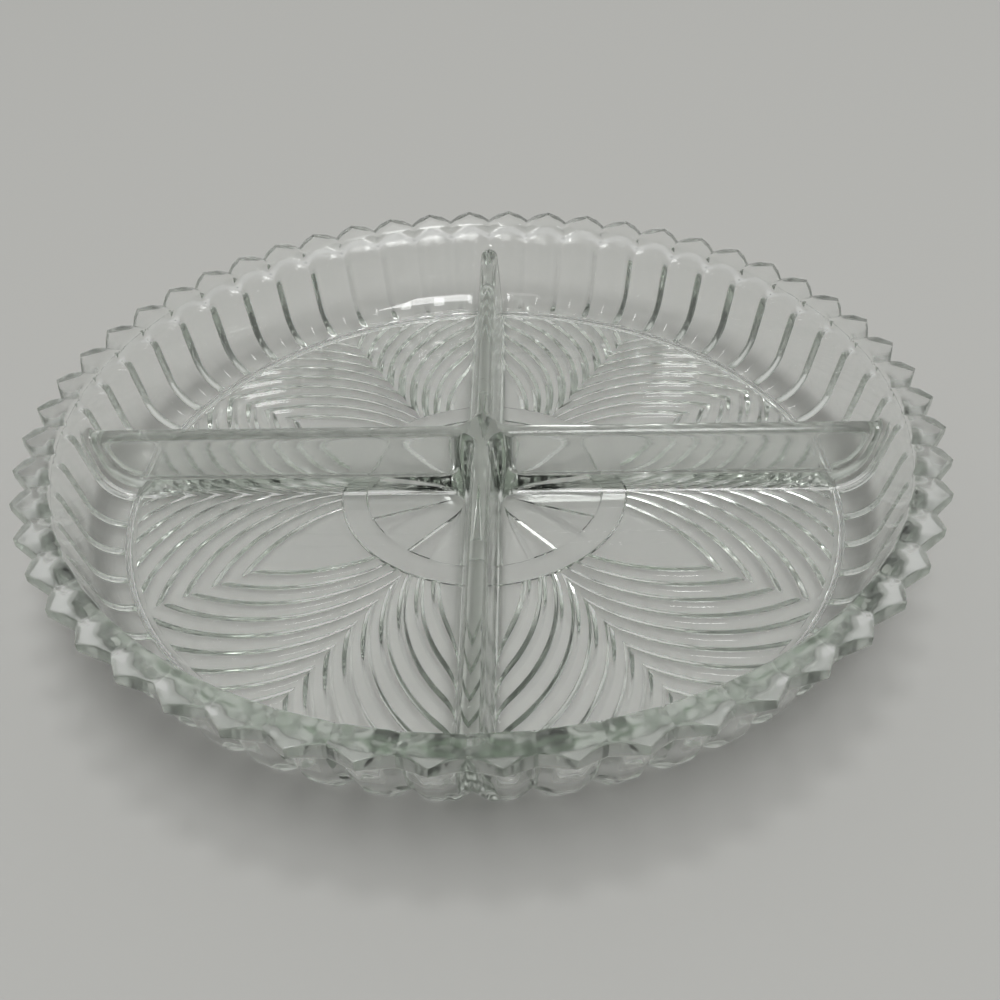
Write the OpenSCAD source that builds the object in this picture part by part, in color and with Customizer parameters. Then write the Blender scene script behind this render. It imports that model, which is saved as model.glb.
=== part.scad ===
// Round pressed-glass relish tray with a cross of dividers and a toothed rim.
// Millimetres, +Z up. The origin is the middle of the underside, in the plane it stands on.
// +X runs along one divider and +Y along the next, so the four hollows fill the quarters.

/* [Tray] */
// Diameter over the tips of the teeth
rim_d = 203.2; // [120:0.1:320]
// Height of the tooth tips above the table
tray_h = 28; // [22:0.5:50]
// Teeth round the rim
teeth = 54; // [24:2:72]

/* [Rim] */
// From the tooth tips in to the inner edge of the rim
rim_w = 7.6; // [5:0.1:14]
// From the tooth tips down to where the rim grows out of the wall
rim_h = 6; // [4:0.1:9]
// How far the teeth stand out beyond the notches between them
tooth_reach = 3.25; // [1:0.05:5]
// Height of the upright edge at the tip of a tooth
tip_edge_h = 2.4; // [1:0.1:4]
// Fall of the rim's top from the tips in to its inner edge
rim_fall = 0.5; // [0.1:0.1:2]
// Depth of the groove over each notch, below the tips
notch_depth = 1.2; // [0.6:0.1:2]
// Half width of that groove at the height of the tips
notch_half_w = 2.8; // [1:0.1:4]

/* [Wall] */
// Thickness of the wall
wall_t = 3.9; // [2.5:0.1:6]
// Lean of the wall out from upright, in degrees
wall_lean = 13; // [3:0.5:30]
// Inside radius where the wall turns into the floor
wall_fillet_r = 9; // [3:0.5:12]
// Depth of the grooves between the panels on the outside
flute_depth = 1.8; // [0.3:0.1:2.5]
// Half width of those grooves
flute_half_w = 3.1; // [0.4:0.1:4]
// How often a groove bends on its way round the turn into the floor
flute_bends = 3; // [0:3]
// How far it bends each time, in degrees
flute_bend = 18; // [10:1:20]

/* [Floor] */
// Thickness of the floor above the pattern
floor_t = 2.8; // [1.5:0.1:5]
// Thickness of the patterned skin below it
pattern_t = 1.2; // [0.8:0.1:3]
// Room between the skin and the table
rest_gap = 1; // [0.5:0.1:3]
// From the edge of the flat floor out to the ring that the tray stands on
rest_step = 0.8; // [0.2:0.1:2]
// Width of that ring
rest_w = 2; // [1.5:0.1:4]

/* [Pattern] */
// Outer radius of the plain ring round the star
ring_r = 34.2; // [20:0.1:60]
// Width of the plain ring
ring_w = 6.3; // [3:0.1:12]
// How far the plain ring is sunk above the lowest face of the leaves
ring_sink = 0.3; // [0:0.05:0.5]
// Radius where the rays of the star begin
ray_start_r = 8; // [4:0.5:15]
// Depth of the flat bottom of a ray
ray_depth = 0.9; // [0.3:0.1:1.1]
// Half width of a ray at the plain ring
ray_half_w = 3.7; // [1:0.1:6]
// Slope of a ray's two flanks, in degrees
ray_flank = 38; // [10:1:60]
// Radius of the curved grooves of a leaf
arc_r = 41.8; // [25:0.1:70]
// Distance from the middle to the point of the first leaf outline
arc_tip_r = 59; // [40:0.5:90]
// Half width of the plain almond inside the first outline
almond_half_w = 9.9; // [5:0.1:15]
// Step from groove to groove along the leaf
arc_step_along = 3.7; // [2:0.05:8]
// Step from groove to groove across the leaf
arc_step_across = 3.4; // [2:0.05:8]
// Grooves on each side of a leaf
arc_count = 9; // [1:12]
// Depth of a leaf groove
arc_depth = 0.8; // [0.3:0.1:1.1]
// Half width of a leaf groove
arc_half_w = 1.1; // [0.3:0.1:1.5]

/* [Dividers] */
// From the tooth tips down to the top of the dividers
divider_drop = 7.1; // [6:0.1:12]
// Radius of their rounded top
divider_top_r = 2.25; // [1:0.05:4]
// Lean of their sides in from upright, in degrees
divider_lean = 6; // [1:0.5:12]
// Radius of the fillet along their foot
divider_fillet_r = 2; // [0.5:0.1:4]
// Radius of the corner between two dividers
corner_r = 5; // [2:0.1:10]

/* [Hidden] */
$fn = 180;
glass = [0.84, 0.9, 0.87, 0.55];

// Heights above the table.
skin_top = rest_gap + pattern_t;
floor_top = skin_top + floor_t;
rim_base = tray_h - rim_h;
tip_edge_base = tray_h - tip_edge_h;

// Inner face of the wall: a cone that ends in a fillet at the edge of the flat floor.
tip_r = rim_d / 2;
rim_in_r = tip_r - rim_w;
turn_z = floor_top + wall_fillet_r;
turn_top_z = turn_z - wall_fillet_r * sin(wall_lean);
floor_r = rim_in_r - (tray_h - turn_top_z) * tan(wall_lean) - wall_fillet_r * cos(wall_lean);

// Radius of the face that lies t outside the inner face, at height z on the cone.
function lean_r(t, z) = floor_r + (wall_fillet_r + t) / cos(wall_lean) + (z - turn_z) * tan(wall_lean);

wall_out_r = lean_r(wall_t, rim_base);
turn_out_r = wall_fillet_r + wall_t;
rest_in_r = floor_r + rest_step;

// Teeth: tooth 0 points along +X and a notch lies half a pitch on from each tooth. A quarter
// of the rim runs from notch to notch, and a quarter of the wall from panel middle to panel middle.
pitch = 360 / teeth;
notch_r = tip_r - tooth_reach;
function notch_angle(i) = (i + 0.5) * pitch;
function quarter_tooth(q) = floor(q * teeth / 4);

// Pattern
leaf_angle = 60;
half_leaf = leaf_angle / 2;
ring_in_r = ring_r - ring_w;
ray_keel = ray_half_w * tan(ray_flank);
ray_tilt = atan(ray_keel / (ring_in_r - ray_start_r));
arc_across_0 = almond_half_w - arc_r;
arc_along_0 = arc_tip_r - sqrt(arc_r * arc_r - arc_across_0 * arc_across_0);

// Dividers: the side leans from the foot to the point where it touches the rounded top.
divider_h = tray_h - floor_top - divider_drop;
divider_top_z = divider_h - divider_top_r;
shoulder_w = divider_top_r * cos(divider_lean);
shoulder_z = divider_top_z + divider_top_r * sin(divider_lean);
foot_w = (divider_top_r + divider_top_z * sin(divider_lean)) / cos(divider_lean);
fillet_x = foot_w + divider_fillet_r * (1 - sin(divider_lean)) / cos(divider_lean);
corner_x = shoulder_w + corner_r;

// Half section of all that lies within the face t outside the inner face of the wall.
module bowl_section(t) {
    r = wall_fillet_r + t;
    translate([floor_r, turn_z]) circle(r = r);
    polygon([
        [0, turn_z - r],
        [floor_r, turn_z - r],
        [floor_r + r * cos(wall_lean), turn_z - r * sin(wall_lean)],
        [lean_r(t, tray_h), tray_h],
        [0, tray_h]
    ]);
}

// The hollow of the tray as if it had no dividers.
module cavity() {
    rotate_extrude() bowl_section(0);
}

module tube(r_out, r_in, h) {
    difference() {
        cylinder(r = r_out, h = h);
        cylinder(r = r_in, h = h);
    }
}

// Flat glass floor above the patterned skin.
module floor_plate() {
    color(glass) translate([0, 0, skin_top]) cylinder(r = floor_r, h = floor_t);
}

// Low ring under the foot of the wall that carries the tray.
module rest_ring() {
    color(glass) difference() {
        tube(rest_in_r + rest_w, rest_in_r, floor_top);
        rotate_extrude() bowl_section(wall_t);
    }
}

// Plain band between the star and the leaves.
module centre_ring() {
    base = rest_gap + ring_sink;
    color(glass) translate([0, 0, base]) tube(ring_r, ring_in_r, skin_top - base);
}

// Disc cut from below by rays that widen from the middle outwards and have a flat bottom.
module centre_star() {
    color(glass) difference() {
        translate([0, 0, rest_gap]) cylinder(r = ring_in_r, h = pattern_t);
        intersection() {
            cylinder(r = ring_r, h = rest_gap + ray_depth);
            for (a = [0 : half_leaf : 360 - half_leaf])
                rotate([0, 0, a]) translate([ray_start_r, 0, rest_gap]) rotate([0, -ray_tilt, 0])
                    rotate([90, 0, 90]) linear_extrude(ring_r - ray_start_r)
                        polygon([[0, 0], [-2 * ray_half_w, -2 * ray_keel], [2 * ray_half_w, -2 * ray_keel]]);
        }
    }
}

// Ring-shaped cutter whose V section opens downwards.
module arc_cutter() {
    rotate_extrude() translate([arc_r, 0])
        polygon([[0, arc_depth], [-2 * arc_half_w, -arc_depth], [2 * arc_half_w, -arc_depth]]);
}

// One side of a leaf: each groove is the same circle moved on along and across the leaf.
module leaf_side() {
    translate([0, 0, rest_gap]) difference() {
        rotate_extrude(angle = half_leaf) translate([ring_r, 0]) square([floor_r - ring_r, pattern_t]);
        for (i = [0 : arc_count - 1])
            translate([arc_along_0 + i * arc_step_along, arc_across_0 + i * arc_step_across, 0])
                arc_cutter();
    }
}

module leaf(a) {
    color(glass) rotate([0, 0, a]) {
        leaf_side();
        mirror([0, 1, 0]) leaf_side();
    }
}

module leaf_right_back() { leaf(half_leaf); }
module leaf_back() { leaf(half_leaf + leaf_angle); }
module leaf_left_back() { leaf(half_leaf + 2 * leaf_angle); }
module leaf_left_front() { leaf(half_leaf + 3 * leaf_angle); }
module leaf_front() { leaf(half_leaf + 4 * leaf_angle); }
module leaf_right_front() { leaf(half_leaf + 5 * leaf_angle); }

// V section of a groove, with x out from the outer face of the wall.
module flute_section() {
    polygon([[-flute_depth, 0], [flute_depth, -2 * flute_half_w], [flute_depth, 2 * flute_half_w]]);
}

// Groove on the outside of the wall: one stretch down the cone and short ones round the turn.
module flute() {
    half = turn_out_r * tan(flute_bend / 2);
    for (i = [0 : flute_bends])
        translate([floor_r, 0, turn_z]) rotate([0, wall_lean + i * flute_bend, 0])
            translate([turn_out_r, 0, -half])
                linear_extrude(i == 0 ? tray_h : 2 * half) flute_section();
}

// Wall between the middles of two panels, with a groove on its outside under every notch.
module wall_quarter(q) {
    first = quarter_tooth(q);
    last = quarter_tooth(q + 1);
    color(glass) difference() {
        rotate([0, 0, first * pitch]) rotate_extrude(angle = (last - first) * pitch)
            difference() {
                intersection() {
                    bowl_section(wall_t);
                    translate([floor_r, rest_gap]) square([tip_r - floor_r, rim_base - rest_gap]);
                }
                bowl_section(0);
            }
        for (i = [first : last - 1]) rotate([0, 0, notch_angle(i)]) flute();
    }
}

module wall_back_right() { wall_quarter(0); }
module wall_back_left() { wall_quarter(1); }
module wall_front_left() { wall_quarter(2); }
module wall_front_right() { wall_quarter(3); }

// Half section of the rim, carried on past the tips so that the teeth cut it off.
module rim_section() {
    past = tooth_reach / 2;
    rise = (tip_edge_base - rim_base) / (tip_r - wall_out_r);
    difference() {
        polygon([
            [floor_r, rim_base],
            [wall_out_r, rim_base],
            [tip_r + past, tip_edge_base + past * rise],
            [tip_r + past, tray_h + past * rim_fall / rim_w],
            [rim_in_r, tray_h - rim_fall],
            [floor_r, tray_h - rim_fall]
        ]);
        bowl_section(0);
    }
}

// Rim between two notches: its plan runs straight from notch to tip and back.
module rim_quarter(q) {
    first = quarter_tooth(q);
    last = quarter_tooth(q + 1);
    outline = [for (i = [0 : 2 * teeth - 1])
        let (r = i % 2 == 0 ? tip_r : notch_r, a = i * pitch / 2) [r * cos(a), r * sin(a)]];
    color(glass) difference() {
        intersection() {
            rotate([0, 0, notch_angle(first)]) rotate_extrude(angle = (last - first) * pitch) rim_section();
            linear_extrude(2 * tray_h) polygon(outline);
        }
        for (i = [first : last])
            rotate([0, 0, notch_angle(i)]) translate([floor_r, 0, tray_h - notch_depth])
                rotate([90, 0, 90]) linear_extrude(rim_d - floor_r)
                    polygon([[0, 0], [2 * notch_half_w, 2 * notch_depth], [-2 * notch_half_w, 2 * notch_depth]]);
    }
}

module rim_back_right() { rim_quarter(0); }
module rim_back_left() { rim_quarter(1); }
module rim_front_left() { rim_quarter(2); }
module rim_front_right() { rim_quarter(3); }

// Section of a divider on the floor: filleted foot, leaning sides and a rounded top.
module divider_section() {
    touch_x = fillet_x - divider_fillet_r * cos(divider_lean);
    touch_z = divider_fillet_r * (1 - sin(divider_lean));
    translate([0, divider_top_z]) circle(r = divider_top_r);
    difference() {
        polygon([
            [fillet_x, 0], [touch_x, touch_z], [shoulder_w, shoulder_z],
            [-shoulder_w, shoulder_z], [-touch_x, touch_z], [-fillet_x, 0]
        ]);
        for (side = [-1, 1])
            translate([side * fillet_x, divider_fillet_r]) circle(r = divider_fillet_r);
    }
}

// Arm of the cross, mitred against the next ones at the centre and run out to the wall.
module divider(a) {
    color(glass) rotate([0, 0, a]) {
        intersection() {
            translate([0, 0, floor_top]) rotate([90, 0, 90]) linear_extrude(rim_in_r) divider_section();
            linear_extrude(tray_h) polygon([[0, 0], [rim_in_r, -rim_in_r], [rim_in_r, rim_in_r]]);
            cavity();
        }
        translate([0, 0, floor_top]) linear_extrude(divider_top_z) difference() {
            polygon([[0, 0], [corner_x, -corner_x], [corner_x, corner_x]]);
            for (side = [-1, 1])
                translate([corner_x, side * corner_x]) circle(r = corner_r);
        }
    }
}

module divider_right() { divider(0); }
module divider_back() { divider(90); }
module divider_left() { divider(180); }
module divider_front() { divider(270); }

floor_plate();
rest_ring();
centre_ring();
centre_star();
leaf_right_back();
leaf_back();
leaf_left_back();
leaf_left_front();
leaf_front();
leaf_right_front();
wall_back_right();
wall_back_left();
wall_front_left();
wall_front_right();
rim_back_right();
rim_back_left();
rim_front_left();
rim_front_right();
divider_right();
divider_back();
divider_left();
divider_front();
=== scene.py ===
"""Clear pressed-glass relish tray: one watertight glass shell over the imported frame."""

import logging
import math
from dataclasses import dataclass, field
from enum import Enum
from typing import Callable

import bpy
import numpy as np
from mathutils import Matrix, Vector


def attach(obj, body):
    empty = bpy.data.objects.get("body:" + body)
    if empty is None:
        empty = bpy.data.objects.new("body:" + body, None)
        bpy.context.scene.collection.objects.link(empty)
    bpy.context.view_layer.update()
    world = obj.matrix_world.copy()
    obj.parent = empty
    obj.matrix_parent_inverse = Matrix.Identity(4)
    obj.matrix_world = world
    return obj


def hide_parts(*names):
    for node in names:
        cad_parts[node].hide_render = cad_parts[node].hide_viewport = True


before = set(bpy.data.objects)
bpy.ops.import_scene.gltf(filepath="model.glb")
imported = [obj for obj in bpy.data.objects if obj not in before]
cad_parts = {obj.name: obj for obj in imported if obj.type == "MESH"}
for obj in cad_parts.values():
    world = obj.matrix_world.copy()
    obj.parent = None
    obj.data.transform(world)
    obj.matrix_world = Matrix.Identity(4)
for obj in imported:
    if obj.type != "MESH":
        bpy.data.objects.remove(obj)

log = logging.getLogger("relish_tray")
MM = 0.001
FULL_TURN = 2 * math.pi
TINY = 1e-6
MIRROR = np.array([1, -1, 1])
# How often a search halves its span.
HALVINGS = 40
FINE_HALVINGS = 50
# A value for every station of a ring, or one for all of them.
Lane = np.ndarray | float
Socket = bpy.types.NodeSocket
Feed = bpy.types.NodeSocket | float


class Facing(Enum):
    """Which way the faces of a patch look."""

    UP = 1
    DOWN = -1


@dataclass(frozen=True)
class TrayForm:
    """Sizes of the pressing, in millimetres and degrees, as in the part's source."""

    tip_r: float = 101.6
    height: float = 28.0
    teeth: int = 54
    rim_w: float = 7.6
    rim_h: float = 6.0
    tooth_reach: float = 3.25
    tip_edge_h: float = 2.4
    rim_fall: float = 0.5
    notch_depth: float = 1.2
    notch_half_w: float = 2.8
    wall_t: float = 3.9
    wall_lean: float = 13.0
    fillet_r: float = 9.0
    flute_depth: float = 1.8
    flute_half_w: float = 3.1
    flute_end: float = 76.0
    skin_z: float = 1.0
    floor_top: float = 5.0
    rest_step: float = 0.8
    rest_w: float = 2.0

    @property
    def pitch(self) -> float:
        """Angle from tooth to tooth, in radians."""
        return FULL_TURN / self.teeth

    @property
    def lean(self) -> float:
        """Lean of the wall, in radians."""
        return math.radians(self.wall_lean)

    @property
    def rim_in_r(self) -> float:
        """Radius of the rim's inner edge."""
        return self.tip_r - self.rim_w

    @property
    def turn_z(self) -> float:
        """Height of the centre of the fillet between wall and floor."""
        return self.floor_top + self.fillet_r

    @property
    def floor_r(self) -> float:
        """Radius of the flat floor."""
        rise = self.height - self.turn_z + self.fillet_r * math.sin(self.lean)
        return self.rim_in_r - rise * math.tan(self.lean) - self.fillet_r * math.cos(self.lean)

    @property
    def outer_turn_r(self) -> float:
        """Radius of the wall's outer turn into the floor."""
        return self.fillet_r + self.wall_t

    @property
    def rest_r(self) -> float:
        """Outer radius of the ring that the tray stands on."""
        return self.floor_r + self.rest_step + self.rest_w

    @property
    def root_z(self) -> float:
        """Height at which the rim's underside meets the wall."""
        return self.height - self.rim_h

    @property
    def root_r(self) -> float:
        """Radius of the wall's outer face at that height."""
        return self.lean_r(self.wall_t, self.root_z)

    def lean_r(self, out: float, z: Lane) -> Lane:
        """Radius of the leaning face at a height.

        Args:
            out: Distance outside the wall's inner face.
            z: Heights above the table.

        Returns:
            The radii.
        """
        at_turn = self.floor_r + (self.fillet_r + out) / math.cos(self.lean)
        return at_turn + (z - self.turn_z) * math.tan(self.lean)


@dataclass(frozen=True)
class CrossForm:
    """Sizes of the cross of dividers, in millimetres and degrees."""

    height: float = 15.9
    top_r: float = 2.25
    lean_deg: float = 6.0
    foot_r: float = 2.0
    corner_r: float = 5.0

    def distance(self, across: np.ndarray, z: np.ndarray, floor_top: float) -> np.ndarray:
        """Distance from one bar of the cross, positive outside the glass.

        Args:
            across: Distance from the bar's middle plane.
            z: Heights above the table.
            floor_top: Height of the floor.

        Returns:
            The distances.
        """
        lean = math.radians(self.lean_deg)
        x, y = np.abs(across), z - floor_top - self.height + self.top_r
        up = -x * math.sin(lean) + y * math.cos(lean)
        side = x * math.cos(lean) + y * math.sin(lean)
        return np.where(up > 0, np.hypot(x, y), side) - self.top_r


@dataclass(frozen=True)
class LeafForm:
    """Sizes of the pattern under the floor, in millimetres and degrees."""

    leaves: int = 6
    rays: int = 12
    ring_r: float = 34.2
    ring_in_r: float = 27.9
    ring_z: float = 1.3
    ray_start_r: float = 8.0
    ray_depth: float = 0.9
    ray_half_w: float = 3.7
    ray_flank: float = 38.0
    arc_r: float = 41.8
    arc_tip_r: float = 59.0
    almond_half_w: float = 9.9
    step_along: float = 3.7
    step_across: float = 3.4
    arcs: int = 9
    depth: float = 0.8
    half_share: float = 0.3
    soft: float = 0.14

    @property
    def half_leaf(self) -> float:
        """Half of a leaf's angle, in radians."""
        return math.pi / self.leaves

    @property
    def half_ray(self) -> float:
        """Half of the angle from ray to ray, in radians."""
        return math.pi / self.rays

    @property
    def leaf_turns(self) -> list[float]:
        """Directions of the leaves, in radians."""
        return [self.half_leaf + n * FULL_TURN / self.leaves for n in range(self.leaves)]


def soft_min(a: np.ndarray, b: np.ndarray, reach: float) -> np.ndarray:
    """Smaller of two distances, blended so that the two faces meet in a fillet.

    Args:
        a: Distances from the first body.
        b: Distances from the second body.
        reach: Difference at which the blend starts.

    Returns:
        The blended distances.
    """
    h = np.maximum(reach - np.abs(a - b), 0) / reach
    return np.minimum(a, b) - h * h * reach / 4


def round_points(r: Lane, angle: np.ndarray, *z: Lane) -> np.ndarray:
    """Points at given radii and angles, in plan or, with their heights, in space."""
    return np.stack(np.broadcast_arrays(r * np.cos(angle), r * np.sin(angle), *z), -1)


def turned(points: np.ndarray, angle: float) -> np.ndarray:
    """Turns points about the tray's axis.

    Args:
        points: Points in plan or in space, as (..., 2) or (..., 3).
        angle: Turn to the left as seen from above, in radians.

    Returns:
        The turned points.
    """
    turn = np.eye(points.shape[-1])
    turn[:2, :2] = [[math.cos(angle), math.sin(angle)], [-math.sin(angle), math.cos(angle)]]
    return points @ turn


@dataclass
class Shell:
    """Patches of one surface, gathered as rows of points and welded at the end."""

    points: list[np.ndarray] = field(default_factory=list)
    faces: list[tuple[int, ...]] = field(default_factory=list)
    count: int = 0

    def add(self, xyz: np.ndarray) -> int:
        """Adds points.

        Args:
            xyz: Points as (..., 3).

        Returns:
            The index of the first.
        """
        start = self.count
        self.points.append(np.asarray(xyz, float).reshape(-1, 3))
        self.count += len(self.points[-1])
        return start

    def grid(self, xyz: np.ndarray, facing: Facing, closed: bool = False) -> None:
        """Adds a patch of quads.

        Args:
            xyz: Points as (rows, columns, 3).
            facing: UP where a turn from columns to rows looks out of the glass.
            closed: True where the last column joins the first.
        """
        rows, cols = xyz.shape[:2]
        start = self.add(xyz)
        for i in range(rows - 1):
            for j in range(cols if closed else cols - 1):
                k = (j + 1) % cols
                a, b = start + i * cols + j, start + i * cols + k
                quad = (a, b, b + cols, a + cols)
                self.faces.append(quad if facing is Facing.UP else quad[::-1])

    def stitch(self, outer: np.ndarray, inner: np.ndarray, facing: Facing) -> None:
        """Joins two closed rings of points that have different angles.

        Args:
            outer: Points of the outer ring.
            inner: Points of the inner ring.
            facing: Which way the faces look.
        """
        rings = []
        for ring in (outer, inner):
            angle = np.arctan2(ring[:, 1], ring[:, 0]) % FULL_TURN
            order = np.argsort(angle, kind="stable")
            rings.append((self.add(ring[order]), angle[order]))
        (a0, a), (b0, b) = rings
        i = j = 0
        while i < len(a) or j < len(b):
            next_a = a[(i + 1) % len(a)] + (FULL_TURN if i + 1 >= len(a) else 0)
            next_b = b[(j + 1) % len(b)] + (FULL_TURN if j + 1 >= len(b) else 0)
            p, q = a0 + i % len(a), b0 + j % len(b)
            if j >= len(b) or (i < len(a) and next_a <= next_b):
                i += 1
                tri = (p, a0 + i % len(a), q)
            else:
                j += 1
                tri = (p, b0 + j % len(b), q)
            self.faces.append(tri if facing is Facing.UP else tri[::-1])

    def fan(self, xyz: np.ndarray, facing: Facing) -> None:
        """Adds one flat face with many corners.

        Args:
            xyz: Its corners in order, as (corners, 3).
            facing: UP where that order is a turn to the left as seen from outside.
        """
        start = self.add(xyz)
        loop = tuple(range(start, self.count))
        self.faces.append(loop if facing is Facing.UP else loop[::-1])

    def mesh(self, name: str, weld: float = 0.002) -> bpy.types.Mesh:
        """Welds the patches and makes the mesh.

        Args:
            name: Name of the mesh.
            weld: Distance in millimetres under which points become one.

        Returns:
            The closed mesh, in metres.
        """
        xyz = np.concatenate(self.points)
        key = np.round(xyz / weld).astype(np.int64)
        _, first, back = np.unique(key, axis=0, return_index=True, return_inverse=True)
        back = back.reshape(-1)
        faces = []
        for face in self.faces:
            loop = [int(back[i]) for i in face]
            loop = [p for n, p in enumerate(loop) if p != loop[n - 1]]
            if len(loop) > 2 and len(set(loop)) == len(loop):
                faces.append(loop)
        mesh = bpy.data.meshes.new(name)
        mesh.from_pydata((xyz[first] * MM).tolist(), [], faces)
        mesh.validate()
        return mesh


@dataclass
class Hollow:
    """Inside of the tray: floor, wall and cross of dividers, blended by fillets.

    Attributes:
        form: Sizes of the tray.
        cross: Sizes of the dividers.
        strip: Half width of the band of points along each divider.
        top_z: Height at which the wall gives way to the rim.
        top_gap: Room kept between the last ring of points and that height.
        turn_step: Degrees from ring to ring round the fillet.
        wall_step: Distance from ring to ring up the wall.
        bay_steps: Points on each ring between two bands.
        arm_shares: Places of the rows of points along a divider, close together at its end.
        below: How far under the floor the search for the glass starts.
        above: How far over the tips it ends.
        reach_share: Reach of the blend that makes a fillet, as a share of the fillet's radius.
    """

    form: TrayForm
    cross: CrossForm
    strip: float = 10.0
    top_z: float = 27.0
    top_gap: float = 0.9
    turn_step: float = 5.5
    wall_step: float = 0.7
    bay_steps: int = 150
    arm_shares: tuple[float, ...] = (*np.linspace(0, 0.93, 26), 0.95, 0.965, 0.98, 0.99, 1)
    below: float = 4.0
    above: float = 12.0
    reach_share: float = 1.17

    def distance(self, x: np.ndarray, y: np.ndarray, z: np.ndarray) -> np.ndarray:
        """Distance from the glass, positive in the air above it.

        Args:
            x: Places along the first bar of the cross.
            y: Places along the second bar.
            z: Heights above the table.

        Returns:
            The distances.
        """
        f, c = self.form, self.cross
        out, up = np.hypot(x, y) - f.floor_r, z - f.turn_z
        normal = out * math.cos(f.lean) - up * math.sin(f.lean)
        along = out * math.sin(f.lean) + up * math.cos(f.lean)
        bowl = f.fillet_r - np.where(along > 0, normal, np.hypot(out, up))
        bowl = np.where(out < 0, np.minimum(z - f.floor_top, f.fillet_r - normal), bowl)
        first, second = (c.distance(across, z, f.floor_top) for across in (y, x))
        bars = soft_min(first, second, self.reach_share * c.corner_r)
        bars = np.maximum(bars, z - f.floor_top - c.height)
        return soft_min(bowl, bars, self.reach_share * c.foot_r)

    def lift(self, xy: np.ndarray) -> np.ndarray:
        """Puts plan points on the glass.

        Args:
            xy: Plan points as (..., 2).

        Returns:
            The points as (..., 3).
        """
        x, y = xy[..., 0], xy[..., 1]
        low = np.full(x.shape, self.form.floor_top - self.below)
        high = np.full(x.shape, self.form.height + self.above)
        for _ in range(HALVINGS):
            mid = (low + high) / 2
            air = self.distance(x, y, mid) > 0
            high = np.where(air, mid, high)
            low = np.where(air, low, mid)
        return np.stack([x, y, (low + high) / 2], -1)

    def rings(self) -> list[float]:
        """Works out the rings of points on the wall.

        Returns:
            Their radii, from the edge of the flat floor up the wall.
        """
        f = self.form
        turn = np.radians(np.arange(0, 90 - f.wall_lean, self.turn_step))
        start = f.turn_z - f.fillet_r * math.sin(f.lean)
        wall = np.arange(start, self.top_z - self.top_gap, self.wall_step)
        return [*(f.floor_r + f.fillet_r * np.sin(turn)), *f.lean_r(0, wall)]

    def across(self) -> np.ndarray:
        """Works out the lines of points along a divider.

        Returns:
            Their distances from its middle plane, close together where its face bends.
        """
        half = [0, 0.45, 0.9, 1.3, 1.65, 1.9, 2.08, 2.22, 2.36, 2.6, 2.9, 3.2, 3.45, 3.65,
                3.8, 3.95, 4.15, 4.4, 4.7, 5.05, 5.5, 6.1, 7, 8.3, self.strip]
        return np.array([-v for v in half[:0:-1]] + half)

    def bay(self, r: float) -> np.ndarray:
        """Angles of the points on a ring of radius r, from one band to the next."""
        edge = math.asin(self.strip / r)
        return edge + np.linspace(0, 1, self.bay_steps) * (math.pi / 2 - 2 * edge)

    def build(self, shell: Shell) -> None:
        """Adds the floor, the dividers and the wall up to the rim.

        Args:
            shell: Where the patches go.
        """
        y, t, rings = self.across(), np.array(self.arm_shares), self.rings()
        shell.grid(self.lift(np.stack(np.meshgrid(y, y), -1)), Facing.UP)
        reach = np.sqrt(self.form.floor_r**2 - y**2) - self.strip
        arm = np.stack([self.strip + t[:, None] * reach, np.broadcast_to(y, (len(t), len(y)))], -1)
        band = np.array([np.stack([np.sqrt(r * r - y * y), y], -1) for r in rings])
        bay = np.array([round_points(r, self.bay(r)) for r in rings])
        side = arm[:, -1]
        floor = np.concatenate([side, bay[0, 1:], side[::-1, ::-1][1:-1]])
        for quarter in range(4):
            angle = quarter * math.pi / 2
            for patch in (arm, band, bay):
                shell.grid(self.lift(turned(patch, angle)), Facing.DOWN)
            shell.fan(self.lift(turned(floor, angle)), Facing.UP)

    def edge(self) -> np.ndarray:
        """Works out where the wall ends, for the rim to join.

        Returns:
            The ring of points.
        """
        r = self.rings()[-1]
        quarter = np.concatenate([np.arcsin(self.across() / r), self.bay(r)[1:-1]])
        angle = np.concatenate([quarter + q * math.pi / 2 for q in range(4)])
        return self.lift(round_points(r, angle))


@dataclass
class Loft:
    """Rings round the tray, each with a radius and a height at every station."""

    stations: int
    rings: list[tuple[Lane, Lane]] = field(default_factory=list)

    def add(self, r: Lane, z: Lane) -> None:
        """Adds a ring, where a number holds for all its stations."""
        self.rings.append((r, z))

    def bend(self, a: tuple[Lane, Lane], b: tuple[Lane, Lane], c: tuple[Lane, Lane], steps: int) -> None:
        """Adds a rounded corner.

        Args:
            a: Radius and height at its start.
            b: Radius and height of the sharp corner.
            c: Radius and height at its end.
            steps: Rings after the one at its start.
        """
        for t in np.linspace(0, 1, steps + 1):
            u, v, w = (1 - t) ** 2, 2 * t * (1 - t), t * t
            self.add(u * a[0] + v * b[0] + w * c[0], u * a[1] + v * b[1] + w * c[1])

    def lanes(self) -> np.ndarray:
        """All radii and heights, as (2, rings, stations)."""
        return np.array([[np.broadcast_to(v, self.stations) for v in lane] for lane in zip(*self.rings)])


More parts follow.
